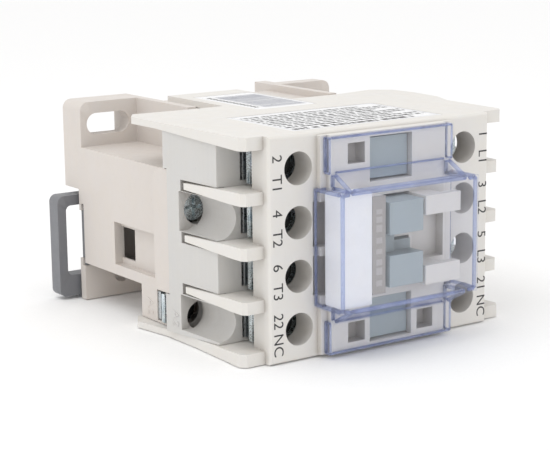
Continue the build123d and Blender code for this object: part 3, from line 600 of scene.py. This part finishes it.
def raised_pads():
    """Short raised dashes on the grey strip in place of its lettering."""
    source = random.Random(11)
    built = bmesh.new()
    width, thickness, sink = 1.5 * MM, 0.16 * MM, 0.02 * MM
    x, y = (strip_low.x + strip_high.x) / 2, strip_low.y + sink
    z = strip_low.z + 1.6 * MM
    while z < strip_high.z - 2.0 * MM:
        length = source.uniform(0.9, 1.5) * MM
        scale = Matrix.Diagonal((width, thickness, length, 1))
        matrix = Matrix.Translation((x, y, z + length / 2)) @ scale
        bmesh.ops.create_cube(built, size=1.0, matrix=matrix)
        z += length + source.choice((0.5, 0.5, 1.1)) * MM
    bmesh.ops.bevel(built, geom=built.edges[:], offset=0.04 * MM, segments=1, affect="EDGES")
    mesh = bpy.data.meshes.new("strip_dashes")
    built.to_mesh(mesh)
    built.free()
    pale = moulded("strip_dash_plastic", (0.50, 0.48, 0.46), 0.45)
    add_mesh("strip_dashes", mesh, pale)


RIM_R = 0.42 * MM
FLANGE_RIM_R = 0.22 * MM
SHORTEST_RIM = 1.4 * MM
RIM_ANGLE = math.radians(30)  # an edge turned less than this gets no rod
RIM_INSET = 1.5  # from the edge to the middle of its rod, in radii
RIM_TRIM = 1.6  # taken off each end of a rod, in radii
BULGE_EDGES = 1.5 * MM  # edges this close to the front belong to the bulge
CORNER_INSET = 0.72 * MM
CORNER_LOW, CORNER_HIGH = 10.1 * MM, 32.8 * MM  # the straight stretch of an upright corner


def rim_rod(built, start, end, radius):
    """A thin eight-sided rod with domed ends between two points."""
    along = end - start
    turn = along.to_track_quat("Z", "Y").to_matrix().to_4x4()
    place = Matrix.Translation((start + end) / 2) @ turn
    bmesh.ops.create_cone(
        built, cap_ends=True, segments=8, radius1=radius, radius2=radius, depth=along.length, matrix=place
    )
    for point in (start, end):
        bmesh.ops.create_icosphere(built, subdivisions=1, radius=radius, matrix=Matrix.Translation(point))


def cover_rims():
    """The bright violet lines just inside the cover's outer corners."""
    source = bmesh.new()
    source.from_mesh(nodes["transparent_cover"].data)
    bmesh.ops.remove_doubles(source, verts=source.verts, dist=WELD_DISTANCE)
    built = bmesh.new()
    for edge in source.edges:
        if len(edge.link_faces) != 2 or edge.calc_length() < SHORTEST_RIM:
            continue
        if edge.calc_face_angle_signed() < RIM_ANGLE:
            continue
        first, second = (vert.co for vert in edge.verts)
        on_bulge = min(first.y, second.y) < cover_low.y + BULGE_EDGES
        radius = RIM_R if on_bulge else FLANGE_RIM_R
        outward = (edge.link_faces[0].normal + edge.link_faces[1].normal).normalized()
        inward = -outward * radius * RIM_INSET
        trim = (second - first).normalized() * min(radius * RIM_TRIM, edge.calc_length() / 4)
        rim_rod(built, first + inward + trim, second + inward - trim, radius)
    source.free()
    # the two upright corners of the bulge are rounded, so they have no single edge
    low, high = cover_low.z + CORNER_LOW, cover_low.z + CORNER_HIGH
    y = cover_low.y + CORNER_INSET
    for x in (cover_low.x + CORNER_INSET, cover_high.x - CORNER_INSET):
        rim_rod(built, Vector((x, y, low)), Vector((x, y, high)), RIM_R)
    mesh = bpy.data.meshes.new("cover_rims")
    built.to_mesh(mesh)
    built.free()
    for face in mesh.polygons:
        face.use_smooth = True
    add_mesh("cover_rims", mesh, COVER_RIM, "cover")


def live_spring(node, body):
    """A copy of the CAD spring on its body, shown in place of the rigid CAD spring."""
    mesh = nodes[node].data.copy()
    piece = add_mesh(f"live_{node}", mesh, MATERIALS["spring_steel"], body)
    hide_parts(node)
    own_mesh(piece)


def live_springs():
    """Every spring that shortens. Pole 4's has to lengthen, so it stays the rigid CAD one."""
    live_spring("return_springs", "root")
    live_spring("din_clip_spring", "root")
    for pole in (1, 2, 3):
        live_spring(f"contact_spring_pole_{pole}", "carrier")


# Studio


SOFTBOX_FROM_MIDDLE = Vector((-0.22, -0.04, 0.42))
SOFTBOX_SIZE = (0.25, 0.25)
SOFTBOX_POWER = 0.42
FLOOR_REACH = 3.0
FLOOR_GAP = 0.0002  # below the object, so that the two faces don't coincide


def area_light(name, place, target, size, power):
    lamp = bpy.data.lights.new(name, "AREA")
    lamp.shape = "RECTANGLE"
    lamp.size, lamp.size_y = size
    lamp.energy = power
    holder = bpy.data.objects.new(name, lamp)
    bpy.context.scene.collection.objects.link(holder)
    holder.location = place
    holder.rotation_euler = (Vector(target) - Vector(place)).to_track_quat("-Z", "Y").to_euler()


def studio():
    world = bpy.data.worlds.new("studio")
    world.use_nodes = True
    world.node_tree.nodes["Background"].inputs["Color"].default_value = (1.0, 0.998, 0.995, 1)
    world.node_tree.nodes["Background"].inputs["Strength"].default_value = 1.0
    bpy.context.scene.world = world
    middle = (cad_low + cad_high) / 2
    area_light("main_softbox", middle + SOFTBOX_FROM_MIDDLE, middle, SOFTBOX_SIZE, SOFTBOX_POWER)


def floor():
    built = bmesh.new()
    far, z = FLOOR_REACH, cad_low.z - FLOOR_GAP
    corners = [(-far, -far), (far, -far), (far, far), (-far, far)]
    built.faces.new([built.verts.new((x, y, z)) for x, y in corners])
    mesh = bpy.data.meshes.new("floor")
    built.to_mesh(mesh)
    built.free()
    piece = bpy.data.objects.new("floor", mesh)
    bpy.context.scene.collection.objects.link(piece)
    shader = paper("floor_paper", (0.985, 0.985, 0.985), 0.9)
    mesh.materials.append(shader.material)


# Camera: place in metres, angles in degrees, lens in mm on a 36 mm sensor
CAMERA_AT = Vector((-0.2024, -0.28615, 0.09106))
CAMERA_AZIMUTH = -34.74
CAMERA_ELEVATION = 11.62
CAMERA_ROLL = -0.64
CAMERA_LENS = 107.07


def camera():
    a, e = math.radians(CAMERA_AZIMUTH), math.radians(CAMERA_ELEVATION)
    back = Vector((math.sin(a) * math.cos(e), -math.cos(a) * math.cos(e), math.sin(e)))
    right = Vector((math.cos(a), math.sin(a), 0))
    up = back.cross(right)
    turn = Matrix((right, up, back)).transposed() @ Matrix.Rotation(math.radians(CAMERA_ROLL), 3, "Z")
    lens = bpy.data.cameras.new("camera")
    lens.lens = CAMERA_LENS
    lens.sensor_width = 36
    lens.clip_start = 0.01
    lens.clip_end = 20
    holder = bpy.data.objects.new("camera", lens)
    bpy.context.scene.collection.objects.link(holder)
    holder.matrix_world = Matrix.Translation(CAMERA_AT) @ turn.to_4x4()
    bpy.context.scene.camera = holder


finish_nodes()
deck_marks()
embossed_marks()
rating_print()
barcode_print()
raised_pads()
cover_rims()
live_springs()
floor()
studio()
camera()
bpy.context.scene.view_settings.view_transform = "Standard"
